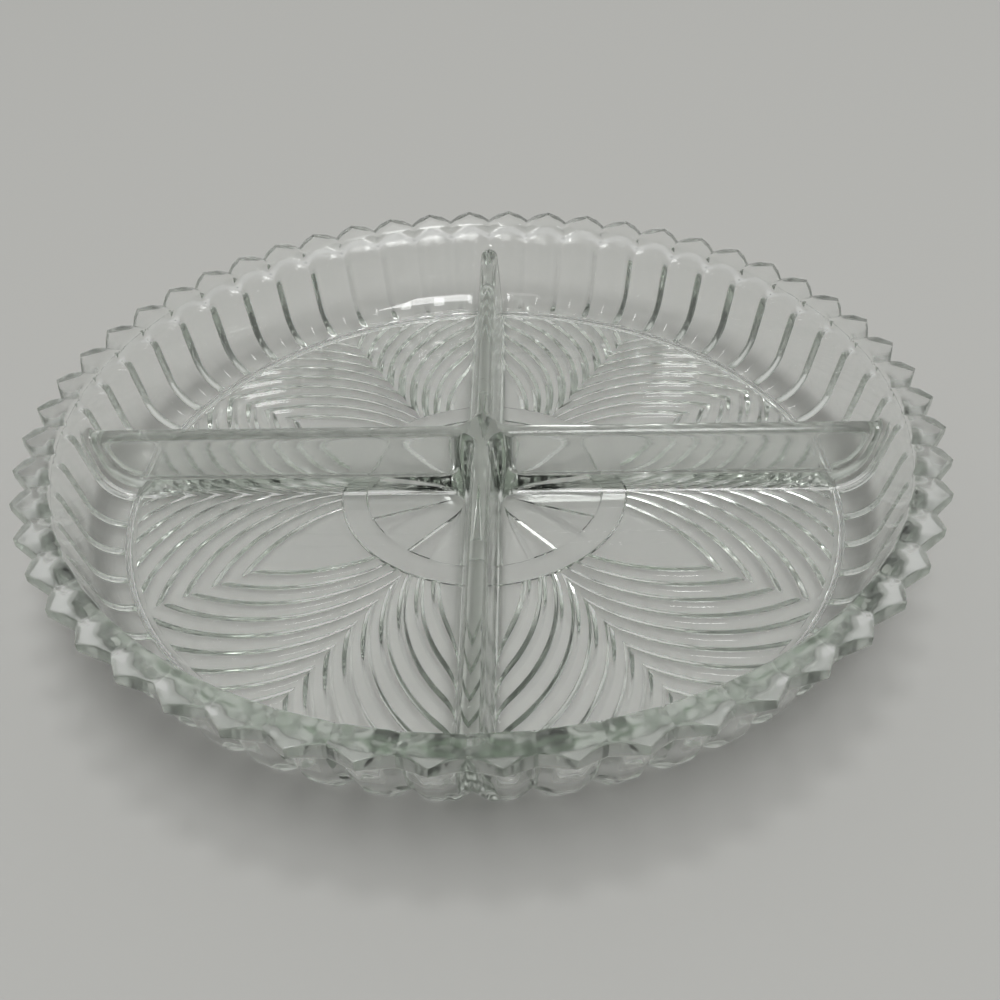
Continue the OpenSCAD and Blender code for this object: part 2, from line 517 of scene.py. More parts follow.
@dataclass
class Outside:
    """Rim with its teeth, the panelled outside of the wall and the foot, as one loft.

    Attributes:
        form: Sizes of the tray.
        hollow: Its inside.
        edge_r: Rounding of the teeth's edges.
        inner_share: Rounding of the rim's inner edge, as a share of theirs.
        stops: Stations from a notch to just before a tip, close together at the notch.
        top_shares: Rings across the top of the rim.
        under_shares: Rings across its underside.
        root_w: Width of the bend between that underside and the wall.
        root_h: Height of that bend.
        root_cut_share: How much of a groove's depth its sharp corner has.
        groove_soft: Rounding of the bottom of a wall groove.
        flank_soft: Rounding of its two edges, as a share of its depth.
        groove_fade: Degrees of the turn in which the groove runs out.
        wall_rings: Rings down the straight wall.
        turn_rings: Rings round its turn into the floor.
        foot_edge_w: Width of the foot's rounded edge.
        foot_edge_h: Height of its straight side above that edge.
    """

    form: TrayForm
    hollow: Hollow
    edge_r: float = 0.4
    inner_share: float = 1.6
    stops: tuple[float, ...] = (0, 0.05, 0.1, 0.155, 0.22, 0.32, 0.45, 0.6, 0.74, 0.87, 0.95)
    top_shares: tuple[float, ...] = (0.12, 0.25, 0.4, 0.55, 0.7, 0.82, 0.92)
    under_shares: tuple[float, ...] = (0.33, 0.66)
    root_w: float = 1.2
    root_h: float = 1.5
    root_cut_share: float = 0.5
    groove_soft: float = 0.15
    flank_soft: float = 0.06
    groove_fade: float = 6.0
    wall_rings: int = 7
    turn_rings: int = 13
    foot_edge_w: float = 0.7
    foot_edge_h: float = 0.3

    def stations(self) -> tuple[np.ndarray, np.ndarray]:
        """Spreads the stations round the tray.

        Returns:
            Their angles and how far each is from a notch (0) to a tip (1).
        """
        f = self.form
        share = np.array([*self.stops, 1, *self.stops[:0:-1]])
        turn = np.array([*self.stops, 1, *(2 - s for s in self.stops[:0:-1])]) * f.pitch / 2
        angle = np.concatenate([(i + 0.5) * f.pitch + turn for i in range(f.teeth)])
        return angle, np.tile(share, f.teeth)

    def outline(self, share: np.ndarray) -> np.ndarray:
        """Radius of the straight flanks between notch and tip.

        Args:
            share: How far each station is from a notch (0) to a tip (1).

        Returns:
            The radii.
        """
        f = self.form
        notch = np.array([f.tip_r - f.tooth_reach, 0.0])
        tip = f.tip_r * np.array([math.cos(f.pitch / 2), math.sin(f.pitch / 2)])
        a = share * f.pitch / 2
        c, s = np.cos(a), np.sin(a)
        at_notch, at_tip = notch[0] * s - notch[1] * c, tip[0] * s - tip[1] * c
        t = at_notch / (at_notch - at_tip)
        return np.hypot(notch[0] + t * (tip[0] - notch[0]), notch[1] + t * (tip[1] - notch[1]))

    def top(self, share: np.ndarray, r: Lane) -> np.ndarray:
        """Height of the rim's top, with a groove over each notch.

        Args:
            share: How far each station is from a notch (0) to a tip (1).
            r: Radii.

        Returns:
            The heights.
        """
        f = self.form
        off = r * np.sin(share * f.pitch / 2)
        groove = f.notch_depth * (1 - off / f.notch_half_w)
        base = f.height - f.rim_fall * (f.tip_r - r) / f.rim_w
        return np.minimum(base, f.height - np.maximum(groove, 0))

    def under(self, r: Lane) -> Lane:
        """Height of the rim's underside.

        Args:
            r: Radii.

        Returns:
            The heights.
        """
        f = self.form
        rise = (f.height - f.tip_edge_h - f.root_z) / (f.tip_r - f.root_r)
        return f.root_z + rise * (r - f.root_r)

    def flute(self, share: np.ndarray) -> np.ndarray:
        """Depth of the upright groove in the wall under each notch.

        Args:
            share: How far each station is from a notch (0) to a tip (1).

        Returns:
            The depths.
        """
        f = self.form
        off = np.hypot(f.root_r * np.sin(share * f.pitch / 2), self.groove_soft)
        flank = 1 - off / f.flute_half_w
        return f.flute_depth * (flank + np.hypot(flank, self.flank_soft)) / 2

    def rim(self, loft: Loft, share: np.ndarray) -> None:
        """Adds the rim, from the top of the wall's inner face round to its underside.

        Args:
            loft: Where the rings go.
            share: How far each station is from a notch (0) to a tip (1).
        """
        f, e = self.form, self.edge_r
        start_z, soft = self.hollow.top_z, self.inner_share * e
        loft.add(f.lean_r(0, start_z), start_z)
        edge_z = self.top(share, f.rim_in_r)
        edge_in = f.lean_r(0, edge_z)
        out, inner = self.outline(share), edge_in + soft
        last = out - e
        loft.bend((f.lean_r(0, edge_z - soft), edge_z - soft), (edge_in, edge_z),
                  (inner, self.top(share, inner)), steps=5)
        for t in self.top_shares:
            r = inner + t * (last - inner)
            loft.add(r, self.top(share, r))
        lip, keel = self.top(share, out), self.under(out)
        loft.bend((last, self.top(share, last)), (out, lip), (out, lip - e), steps=4)
        loft.add(out, (lip + keel) / 2)
        loft.bend((out, keel + e), (out, keel), (last, self.under(last)), steps=3)
        for t in self.under_shares:
            r = last * (1 - t) + (f.root_r + self.root_w) * t
            loft.add(r, self.under(r))

    def wall(self, loft: Loft, share: np.ndarray) -> None:
        """Adds the grooved wall and its turn into the floor.

        Args:
            loft: Where the rings go.
            share: How far each station is from a notch (0) to a tip (1).
        """
        f, cut = self.form, self.flute(share)
        root, start_z = f.root_r + self.root_w, f.root_z - self.root_h
        loft.bend((root, self.under(root)), (f.root_r - cut * self.root_cut_share, f.root_z),
                  (f.lean_r(f.wall_t, start_z) - cut, start_z), steps=5)
        end_z = f.turn_z - f.outer_turn_r * math.sin(f.lean)
        for z in np.linspace(start_z, end_z, self.wall_rings + 1)[1:]:
            loft.add(f.lean_r(f.wall_t, z) - cut, z)
        low = math.degrees(math.acos((f.rest_r - f.floor_r) / f.outer_turn_r))
        for deg in np.linspace(f.wall_lean, low, self.turn_rings + 1)[1:]:
            depth = cut * min(max((f.flute_end + self.groove_fade - deg) / self.groove_fade, 0), 1)
            r, a = f.outer_turn_r - depth, math.radians(deg)
            loft.add(f.floor_r + r * math.cos(a), f.turn_z - r * math.sin(a))

    def foot(self, loft: Loft) -> None:
        """Adds the side and the rounded edge of the foot.

        Args:
            loft: Where the rings go.
        """
        f = self.form
        fall = math.sqrt(f.outer_turn_r**2 - (f.rest_r - f.floor_r) ** 2)
        loft.bend((f.rest_r, f.turn_z - fall - self.foot_edge_h), (f.rest_r, 0.0),
                  (f.rest_r - self.foot_edge_w, 0.0), steps=5)

    def build(self, shell: Shell) -> np.ndarray:
        """Adds the loft and joins it to the hollow.

        Args:
            shell: Where the patches go.

        Returns:
            The ring of points that the foot ends in.
        """
        angle, share = self.stations()
        loft = Loft(len(share))
        self.rim(loft, share)
        self.wall(loft, share)
        self.foot(loft)
        r, z = loft.lanes()
        xyz = round_points(r, angle, z)
        shell.grid(xyz, Facing.DOWN, closed=True)
        shell.stitch(xyz[0], self.hollow.edge(), Facing.UP)
        return xyz[-1]


@dataclass
class Underside:
    """Pattern pressed into the bottom: star, plain ring and six leaves.

    Attributes:
        form: Sizes of the tray.
        leaf: Sizes of the pattern.
        steps: Points along each groove of a leaf.
        sweep: First and last angle, in degrees, and number of the points tried on a groove's circle.
        low_span: Grooves between which a leaf's root is looked for.
        high_span: Grooves between which its point is looked for.
        corner_span: Grooves between which its two corners are looked for.
        end_gap: Least distance of a line of points from a leaf's ends, in grooves.
        corner_gap: Least distance from its corners, in grooves.
        groove_soft: Rounding of the bottom of a leaf's groove, in grooves.
        on_ring: Distance in millimetres within which a point counts as on a ring.
        lip_run: Width of the rounded lips beside the plain ring, at half way and in all.
        lip_rise: Height left at half way.
        slope_gap: Where the slope inside the foot starts, outside the flat floor.
        slope_w: Width of that slope.
        slope_deg: Rings on it, as parts of a quarter turn, close together at the foot.
        slope_power: How much steeper it gets towards the foot.
        hub_r: Radius of the ring of points within the star's rays.
        ray_rings: Rings of points along the rays.
    """

    form: TrayForm
    leaf: LeafForm
    steps: int = 44
    sweep: tuple[float, float, int] = (-60, 180, 4801)
    low_span: tuple[float, float] = (-2.6, 2)
    high_span: tuple[float, float] = (6, 12)
    corner_span: tuple[float, float] = (0, 8)
    end_gap: float = 0.06
    corner_gap: float = 0.02
    groove_soft: float = 0.015
    on_ring: float = 0.01
    lip_run: tuple[float, float] = (0.12, 0.45)
    lip_rise: float = 0.2
    slope_gap: float = 0.05
    slope_w: float = 1.9
    slope_deg: tuple[float, ...] = (0, 15, 30, 42, 52, 61, 70, 80, 90)
    slope_power: int = 5
    hub_r: float = 4.0
    ray_rings: int = 13

    def centre(self, k: float) -> np.ndarray:
        """Centre of the circle that a groove follows.

        Args:
            k: Groove number on one side of a leaf.

        Returns:
            Its place in plan, with the leaf along +X.
        """
        p = self.leaf
        across = p.almond_half_w - p.arc_r
        along = p.arc_tip_r - math.sqrt(p.arc_r**2 - across**2)
        return np.array([along + k * p.step_along, across + k * p.step_across])

    def run(self, k: float) -> tuple[float, float]:
        """Finds where the circle of a groove crosses the side of the leaf.

        Args:
            k: Groove number.

        Returns:
            Angles at which the circle enters and leaves it.
        """
        p, c = self.leaf, self.centre(k)

        def inside(a: np.ndarray) -> np.ndarray:
            """True where the circle lies on the side of the leaf."""
            u, v = c[0] + p.arc_r * np.cos(a), c[1] + p.arc_r * np.sin(a)
            r = np.hypot(u, v)
            return (v >= 0) & (v <= u * math.tan(p.half_leaf)) & (r >= p.ring_r) & (r <= self.form.floor_r)

        a = np.radians(np.linspace(*self.sweep))
        ok = inside(a)
        first = int(np.argmax(ok))
        stop = first + int(np.argmin(ok[first:])) if not ok[first:].all() else len(a) - 1
        ends = []
        for good, bad in ((a[first], a[first - 1]), (a[stop - 1], a[stop])):
            for _ in range(HALVINGS):
                mid = (good + bad) / 2
                good, bad = (mid, bad) if inside(np.array(mid)) else (good, mid)
            ends.append(good)
        return ends[0], ends[1]

    def solve(self, gap: Callable[[float], float], low: float, high: float) -> float:
        """Finds where a gap changes sign.

        Args:
            gap: The gap, for a groove number.
            low: Groove number before the change.
            high: Groove number after it.

        Returns:
            The groove number at the change.
        """
        sign = gap(low) > 0
        for _ in range(FINE_HALVINGS):
            mid = (low + high) / 2
            low, high = (mid, high) if (gap(mid) > 0) == sign else (low, mid)
        return (low + high) / 2

    def numbers(self) -> np.ndarray:
        """Spreads the lines of points across one side of a leaf.

        Returns:
            Their groove numbers, close together at the edges of each groove.
        """
        p, f = self.leaf, self.form

        def tip(k: float) -> float:
            """Where the circle of groove k meets the leaf's middle line."""
            c = self.centre(k)
            return c[0] + math.sqrt(max(p.arc_r**2 - c[1] ** 2, 0))

        def past(r: float, k: float) -> float:
            """How far the edge between two leaves at radius r lies outside circle k."""
            c = self.centre(k)
            return math.hypot(r * math.cos(p.half_leaf) - c[0], r * math.sin(p.half_leaf) - c[1]) - p.arc_r

        low = self.solve(lambda k: tip(k) - p.ring_r, *self.low_span)
        high = self.solve(lambda k: past(f.floor_r, k), *self.high_span)
        corners = [self.solve(lambda k: tip(k) - f.floor_r, *self.corner_span),
                   self.solve(lambda k: past(p.ring_r, k), *self.corner_span)]
        w = p.half_share
        half = [0, 0.035, 0.5 * w, 0.8 * w, 0.93 * w, w, 1.08 * w, 1.25 * w, 0.5]
        parts = [*half, *(1 - v for v in half[-2:0:-1])]
        lines = [n + q for n in range(math.floor(low), math.ceil(high)) for q in parts]
        lines = [k for k in lines if low + self.end_gap < k < high - self.end_gap]
        keep = [k for k in lines if min(abs(k - c) for c in corners) > self.corner_gap]
        return np.array(sorted([low, *keep, *corners, high]))

    def depth(self, k: np.ndarray) -> np.ndarray:
        """Height of the glass above the lowest face of the leaves.

        Args:
            k: Groove numbers.

        Returns:
            The heights.
        """
        p = self.leaf
        off = np.hypot(k - np.clip(np.round(k), 0, p.arcs - 1), self.groove_soft)
        flank = 1 - off / p.half_share
        return p.depth * (flank + np.sqrt(flank * flank + p.soft**2)) / 2

    def side(self) -> np.ndarray:
        """Works out one side of a leaf, with the leaf along +X.

        Returns:
            Its points as (lines, steps, 3).
        """
        p, f, numbers = self.leaf, self.form, self.numbers()
        root = np.array([p.ring_r, 0, f.skin_z])
        point = np.array([f.floor_r * math.cos(p.half_leaf), f.floor_r * math.sin(p.half_leaf), f.skin_z])
        lines = [np.tile(root, (self.steps, 1))]
        for k in numbers[1:-1]:
            c, a = self.centre(k), np.linspace(*self.run(k), self.steps)
            z = f.skin_z + self.depth(np.full_like(a, k))
            lines.append(np.stack([c[0] + p.arc_r * np.cos(a), c[1] + p.arc_r * np.sin(a), z], -1))
        return np.array([*lines, np.tile(point, (self.steps, 1))])

    def on_circle(self, side: np.ndarray, r: float) -> np.ndarray:
        """Picks the points of one leaf's side that lie on a circle round the tray's axis.

        Args:
            side: Points as (lines, steps, 3).
            r: Radius of the circle.

        Returns:
            The points by rising angle.
        """
        edge = np.concatenate([side[:, 0], side[:, -1]])
        on = edge[np.abs(np.hypot(edge[:, 0], edge[:, 1]) - r) < self.on_ring]
        order = np.argsort(np.arctan2(on[:, 1], on[:, 0]))
        return on[order]

    def whole(self, part: np.ndarray) -> np.ndarray:
        """Makes a whole ring of points by mirroring and turning a part.

        Args:
            part: Points of one side of a leaf by rising angle.

        Returns:
            The ring by rising angle, with each point once.
        """
        ring = []
        for angle in self.leaf.leaf_turns:
            ring += [turned(part[::-1] * MIRROR, angle), turned(part, angle)]
        return self.by_angle(np.concatenate(ring))

    def by_angle(self, ring: np.ndarray) -> np.ndarray:
        """Sorts a ring of points.

        Args:
            ring: The points.

        Returns:
            The points by rising angle, with those that repeat left out.
        """
        a = np.arctan2(ring[:, 1], ring[:, 0]) % FULL_TURN
        a[a > FULL_TURN - TINY] = 0
        order = np.argsort(a)
        ring, a = ring[order], a[order]
        keep = np.append(True, np.diff(a) > TINY)
        return ring[keep]

    def slide(self, ring: np.ndarray, r: float, z: float) -> np.ndarray:
        """The same ring of points at another radius and height."""
        return round_points(r, np.arctan2(ring[:, 1], ring[:, 0]), z)

    def leaves(self, shell: Shell) -> tuple[np.ndarray, np.ndarray]:
        """Adds the six leaves.

        Args:
            shell: Where the patches go.

        Returns:
            Their outer and inner rings of points.
        """
        side = self.side()
        for angle in self.leaf.leaf_turns:
            shell.grid(turned(side, angle), Facing.UP)
            shell.grid(turned(side * MIRROR, angle), Facing.DOWN)
        outer, inner = (self.on_circle(side, r) for r in (self.form.floor_r, self.leaf.ring_r))
        return self.whole(outer), self.whole(inner)

    def star(self, shell: Shell) -> np.ndarray:
        """Adds the disc with its rays.

        Args:
            shell: Where the patches go.

        Returns:
            Its outer ring of points.
        """
        f, p = self.form, self.leaf
        rays = np.linspace(p.ray_start_r, p.ring_in_r, self.ray_rings + 1)
        r = np.array([TINY, self.hub_r, *rays])[:, None]
        half_w = np.maximum(r - p.ray_start_r, 0) * (p.ray_half_w / (p.ring_in_r - p.ray_start_r))
        steep = math.tan(math.radians(p.ray_flank))
        deep = np.minimum(half_w * steep, p.ray_depth)
        bottom, reach = np.arcsin((half_w - deep / steep) / r), np.arcsin(half_w / r)
        on_bottom, on_flank, beside = [0, 0.5, 0.94], [0, 0.12, 0.5, 0.88, 1], [0.06, 0.3, 0.65, 1]
        a = np.concatenate([bottom * np.array(on_bottom), bottom + (reach - bottom) * np.array(on_flank),
                            reach + (p.half_ray - reach) * np.array(beside)], 1)
        level = np.array([1 for _ in on_bottom] + [1 - t for t in on_flank] + [0 for _ in beside])
        part = round_points(r, a, f.skin_z + deep * level)
        ring = []
        for n in range(p.rays):
            angle = n * 2 * p.half_ray
            shell.grid(turned(part, angle), Facing.UP)
            shell.grid(turned(part * MIRROR, angle), Facing.DOWN)
            ring += [turned((part[-1] * MIRROR)[::-1], angle), turned(part[-1, 1:-1], angle)]
        return self.by_angle(np.concatenate(ring))

    def lip(self, ring: np.ndarray, r: float, sense: int) -> np.ndarray:
        """Works out the rounded lip between the pattern and the plain ring.

        Args:
            ring: Points of the pattern's edge.
            r: Radius of that edge.
            sense: 1 where the plain ring lies outside the edge, -1 inside.

        Returns:
            Points as (rings, points, 3).
        """
        p, (half, full) = self.leaf, self.lip_run
        return np.array([ring, self.slide(ring, r + sense * half, p.ring_z + self.lip_rise),
                         self.slide(ring, r + sense * full, p.ring_z)])

    def build(self, shell: Shell, foot: np.ndarray) -> None:
        """Adds the underside and joins it to the foot.

        Args:
            shell: Where the patches go.
            foot: Ring of points that the outside ends in.
        """
        f, p = self.form, self.leaf
        outer, inner = self.leaves(shell)
        slope = [outer]
        for t in np.sin(np.radians(self.slope_deg)):
            r, z = f.floor_r + self.slope_gap + self.slope_w * t, f.skin_z * (1 - t**self.slope_power)
            slope.append(self.slide(outer, r, z))
        shell.grid(np.array(slope), Facing.UP, closed=True)
        shell.stitch(foot, slope[-1], Facing.DOWN)
        star = self.star(shell)
        outer_lip, inner_lip = self.lip(inner, p.ring_r, -1), self.lip(star, p.ring_in_r, 1)
        shell.grid(outer_lip, Facing.DOWN, closed=True)
        shell.grid(inner_lip, Facing.UP, closed=True)
        shell.stitch(outer_lip[-1], inner_lip[-1], Facing.DOWN)


@dataclass
class NodeDesk:
    """Places nodes of one material or world and wires their sockets."""

    tree: bpy.types.NodeTree

    def put(self, kind: str, **values: float | tuple) -> bpy.types.Node:
        """Adds a node.

        Args:
            kind: Kind of shader node.
            values: Settings of its sockets, with _ for a space.

        Returns:
            The node.
        """
        node = self.tree.nodes.new("ShaderNode" + kind)
        for name, value in values.items():
            node.inputs[name.replace("_", " ")].default_value = value
        return node

    def wire(self, source: Feed, target: Socket) -> None:
        """Feeds a socket.

        Args:
            source: Another socket or a number.
            target: The socket.
        """
        if isinstance(source, bpy.types.NodeSocket):
            self.tree.links.new(source, target)
        else:
            target.default_value = source

    def sum(self, how: str, *values: Feed) -> Socket:
        """Works out a sum.

        Args:
            how: Kind of sum.
            values: What goes in, in order.

        Returns:
            The result.
        """
        node = self.put("Math")
        node.operation = how
        for value, socket in zip(values, node.inputs):
            self.wire(value, socket)
        return node.outputs[0]

    def fade(self, value: Socket, span: tuple[float, float], ends: tuple[float, float] = (0, 1)) -> Socket:
        """Takes a value from one end to the other.

        Args:
            value: What is looked at.
            span: Where the change starts and where it ends.
            ends: Results before and after it.

        Returns:
            The result.
        """
        node = self.put("MapRange", From_Min=span[0], From_Max=span[1], To_Min=ends[0], To_Max=ends[1])
        self.wire(value, node.inputs["Value"])
        return node.outputs[0]

    def noise(self, place: Socket, scale: float, detail: float) -> Socket:
        """Adds noise.

        Args:
            place: Where the surface is.
            scale: How fine the noise is.
            detail: How many finer layers it has.

        Returns:
            The noise.
        """
        node = self.put("TexNoise", Scale=scale, Detail=detail)
        self.wire(place, node.inputs["Vector"])
        return node.outputs[0]


@dataclass(frozen=True)
class DullPlaces:
    """Where the pressing is less polished, in metres, each size as the start and end of a fade."""

    rim_r: tuple[float, float] = (0.0925, 0.095)
    rim_z: tuple[float, float] = (0.0185, 0.022)
    cross_half_w: tuple[float, float] = (0.0045, 0.006)
    cross_z: tuple[float, float] = (0.0055, 0.007)
    cross_r: tuple[float, float] = (0.088, 0.09)
    foot_r: tuple[float, float] = (0.0833, 0.0837)
    foot_z: tuple[float, float] = (0.0006, 0.0025)
    streak_scale: tuple[float, float, float] = (900.0, 18.0, 900.0)

    def build(self, desk: NodeDesk, coords: Socket) -> tuple[Socket, Socket, Socket, Socket]:
        """Finds the rim, the dividers and the foot.

        Args:
            desk: Where the nodes go.
            coords: Place on the tray.

        Returns:
            Masks of the rim, the dividers and the foot, and a place stretched along each divider.
        """
        out = (1, 0)
        split = desk.put("SeparateXYZ")
        desk.wire(coords, split.inputs[0])
        x, y = (desk.sum("ABSOLUTE", split.outputs[i]) for i in range(2))
        z = split.outputs[2]
        radius = desk.sum("SQRT", desk.sum("ADD", desk.sum("MULTIPLY", x, x), desk.sum("MULTIPLY", y, y)))
        near, far = desk.sum("MINIMUM", x, y), desk.sum("MAXIMUM", x, y)
        rim = desk.sum("MULTIPLY", desk.fade(radius, self.rim_r), desk.fade(z, self.rim_z))
        cross = desk.sum("MULTIPLY", desk.fade(near, self.cross_half_w, out), desk.fade(z, self.cross_z))
        cross = desk.sum("MULTIPLY", cross, desk.fade(radius, self.cross_r, out))
        foot = desk.sum("MULTIPLY", desk.fade(radius, self.foot_r), desk.fade(z, self.foot_z, out))
        along = desk.put("CombineXYZ")
        for value, scale, socket in zip((near, far, z), self.streak_scale, along.inputs):
            desk.wire(desk.sum("MULTIPLY", value, scale), socket)
        return rim, cross, foot, along.outputs[0]


@dataclass(frozen=True)
class PressedGlass:
    """Clear soda glass with a faint grey-green tint, less polished on the rim and the dividers.

    Attributes:
        colour: Colour of the glass itself.
        tint: Colour that light keeps on its way through.
        tint_density: How strong the tint is.
        ior: How much it bends light.
        polish: Least and most roughness of its polished faces.
        smudge_scale: How fine the change between the two is.
        smudge_span: Part of the noise that makes it.
        places: Where it is less polished.
        rim_haze: Roughness that the rim adds.
        cross_haze: Roughness that the dividers add.
        foot_haze: Roughness that the foot adds.
        wave_scale: How fine the waves of its faces are.
        wave_strength: How strong they are.
        wave_height: How high they are, in metres.
        streaks: How strong the streaks along the dividers are beside them.
        shade: Light that goes through to the table, seen face on and edge on.
        shade_span: Part of the facing that makes the change between the two.
    """

    colour: tuple[float, float, float] = (0.997, 1.0, 0.997)
    tint: tuple[float, float, float] = (0.63, 0.72, 0.62)
    tint_density: float = 16.0
    ior: float = 1.5
    polish: tuple[float, float] = (0.01, 0.05)
    smudge_scale: float = 25.0
    smudge_span: tuple[float, float] = (0.35, 0.75)
    places: DullPlaces = DullPlaces()
    rim_haze: float = 0.16
    cross_haze: float = 0.09
    foot_haze: float = 0.35
    wave_scale: float = 60.0
    wave_strength: float = 0.05
    wave_height: float = 0.002
    streaks: float = 0.25
    shade: tuple[float, float] = (0.64, 0.04)
    shade_span: tuple[float, float] = (0.0, 0.75)

    def build(self) -> bpy.types.Material:
        """Makes the material.

        Returns:
            The material.
        """
        mat = bpy.data.materials.new("pressed_glass")
        mat.use_nodes = True
        mat.node_tree.nodes.clear()
        desk = NodeDesk(mat.node_tree)
        out = desk.put("OutputMaterial")
        glass = desk.put("BsdfPrincipled", Base_Color=(*self.colour, 1), Transmission_Weight=1.0,
                         IOR=self.ior)
        coords = desk.put("TexCoord").outputs["Object"]
        *masks, along = self.places.build(desk, coords)
        rough = desk.fade(desk.noise(coords, self.smudge_scale, detail=4), self.smudge_span, self.polish)
        for mask, haze in zip(masks, (self.rim_haze, self.cross_haze, self.foot_haze)):
            rough = desk.sum("ADD", rough, desk.sum("MULTIPLY", mask, haze))
        desk.wire(rough, glass.inputs["Roughness"])
        on_cross = desk.sum("MULTIPLY", masks[1], self.streaks)
        waves = desk.noise(coords, self.wave_scale, detail=2)
        height = desk.sum("MULTIPLY_ADD", desk.noise(along, 1, detail=3), on_cross, waves)
        bump = desk.put("Bump", Strength=self.wave_strength, Distance=self.wave_height)
        desk.wire(height, bump.inputs["Height"])
        desk.wire(bump.outputs[0], glass.inputs["Normal"])
        tint = desk.put("VolumeAbsorption", Color=(*self.tint, 1), Density=self.tint_density)
        desk.wire(tint.outputs[0], out.inputs["Volume"])
        desk.wire(self.shadow(desk, glass.outputs[0]), out.inputs["Surface"])
        return mat

    def shadow(self, desk: NodeDesk, glass: Socket) -> Socket:
        """Lets part of the light through to the table, less where the glass is seen edge on.

        Args:
            desk: Where the nodes go.
            glass: The glass as it is seen.

        Returns:
            The glass with its lighter shadow.
        """
        facing = desk.put("LayerWeight", Blend=0.5)
        through = desk.put("BsdfTransparent")
        desk.wire(desk.fade(facing.outputs["Facing"], self.shade_span, self.shade), through.inputs["Color"])
        mix = desk.put("MixShader")
        sources = (desk.put("LightPath").outputs["Is Shadow Ray"], glass, through.outputs[0])
        for source, socket in zip(sources, mix.inputs):
            desk.wire(source, socket)
        return mix.outputs[0]


@dataclass(frozen=True)
class PaleFloor:
    """Plain pale floor, in metres, just under the foot so that the two faces don't meet."""

    colour: tuple[float, float, float] = (0.445, 0.445, 0.429)
    rough: float = 0.9
    shine: float = 0.1
    half: float = 3.0
    drop: float = 0.0002

    def build(self) -> bpy.types.Object:
        """Makes the floor and its material.

        Returns:
            The floor.
        """
        mat = bpy.data.materials.new("pale_floor")
        mat.use_nodes = True
        bsdf = mat.node_tree.nodes["Principled BSDF"]
        bsdf.inputs["Base Color"].default_value = (*self.colour, 1)
        bsdf.inputs["Roughness"].default_value = self.rough
        bsdf.inputs["Specular IOR Level"].default_value = self.shine
        mesh = bpy.data.meshes.new("floor")
        h = self.half
        mesh.from_pydata([(-h, -h, 0), (h, -h, 0), (h, h, 0), (-h, h, 0)], [], [(0, 1, 2, 3)])
        mesh.materials.append(mat)
        floor = bpy.data.objects.new("floor", mesh)
        floor.location.z = -self.drop
        bpy.context.collection.objects.link(floor)
        return floor


@dataclass
class GlassTray:
    """The whole pressing, smooth but for edges that turn by more than crease_deg."""

    form: TrayForm = field(default_factory=TrayForm)
    cross: CrossForm = field(default_factory=CrossForm)
    leaf: LeafForm = field(default_factory=LeafForm)
    finish: PressedGlass = field(default_factory=PressedGlass)
    crease_deg: float = 28.0

    def build(self) -> bpy.types.Object:
        """Makes the tray, puts it on its body and hides the solids it stands for.

        Returns:
            The tray.
        """
        shell = Shell()
        hollow = Hollow(self.form, self.cross)
        hollow.build(shell)
        foot = Outside(self.form, hollow).build(shell)
        Underside(self.form, self.leaf).build(shell, foot)
        mesh = shell.mesh("glass_tray")
        mesh.shade_smooth()
        mesh.set_sharp_from_angle(angle=math.radians(self.crease_deg))
        mesh.materials.append(self.finish.build())
        tray = bpy.data.objects.new("glass_tray", mesh)
        bpy.context.collection.objects.link(tray)
        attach(tray, "root")
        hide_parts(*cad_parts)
        return tray


@dataclass(frozen=True)
class Viewpoint:
    """Camera solved from the ring of teeth.

    Attributes:
        radius: Radius of the tips, in metres.
        ring_z: Height of their ring, in metres.
        distance: Distance from the ring's centre, in radii of the tips.
        height_deg: How far above the table the camera stands, seen from there.
        side_deg: How far to the side it stands.
        yaw_deg: How far it looks past the centre to the side.
        pitch_deg: How far it looks past it upwards.
        roll_deg: How far it is tipped sideways.
        lens: Length of its lens, in millimetres.
        sensor: Width of its picture plane, in millimetres.
        clip: Nearest and farthest it sees, in metres.
    """

    radius: float = 0.1016
    ring_z: float = 0.0269
    distance: float = 2.4669
    height_deg: float = 34.05
    side_deg: float = 2.652
    yaw_deg: float = 0.791
    pitch_deg: float = -4.928
    roll_deg: float = -2.234
    lens: float = 39.6
    sensor: float = 36.0
    clip: tuple[float, float] = (0.01, 20.0)

    def build(self) -> bpy.types.Object:
        """Makes the camera and sets it as the scene's.

        Returns:
            The camera.
        """
        e = math.radians(self.height_deg)
        place = np.array([0, -math.cos(e), math.sin(e)]) * self.distance
        ahead = np.array([0, math.cos(e), -math.sin(e)])
        right = np.array([1.0, 0, 0])
        up = np.cross(right, ahead)

        def turn(a: np.ndarray, b: np.ndarray, deg: float) -> tuple[np.ndarray, np.ndarray]:
            """Turns two axes in their own plane."""
            c, s = math.cos(math.radians(deg)), math.sin(math.radians(deg))
            return a * c + b * s, -a * s + b * c

        ahead, right = turn(ahead, right, self.yaw_deg)
        ahead, up = turn(ahead, up, self.pitch_deg)
        right, up = turn(right, up, self.roll_deg)
        spin = Matrix.Rotation(math.radians(self.side_deg), 3, "Z")
        cam = bpy.data.objects.new("camera", bpy.data.cameras.new("camera"))
        axes = Matrix([spin @ Vector(axis) for axis in (right, up, -ahead)]).transposed()
        where = spin @ Vector(place * self.radius) + Vector((0, 0, self.ring_z))
        cam.matrix_world = Matrix.Translation(where) @ axes.to_4x4()
        cam.data.lens = self.lens
        cam.data.sensor_width = self.sensor
        cam.data.clip_start, cam.data.clip_end = self.clip
        bpy.context.collection.objects.link(cam)
        bpy.context.scene.camera = cam
        return cam


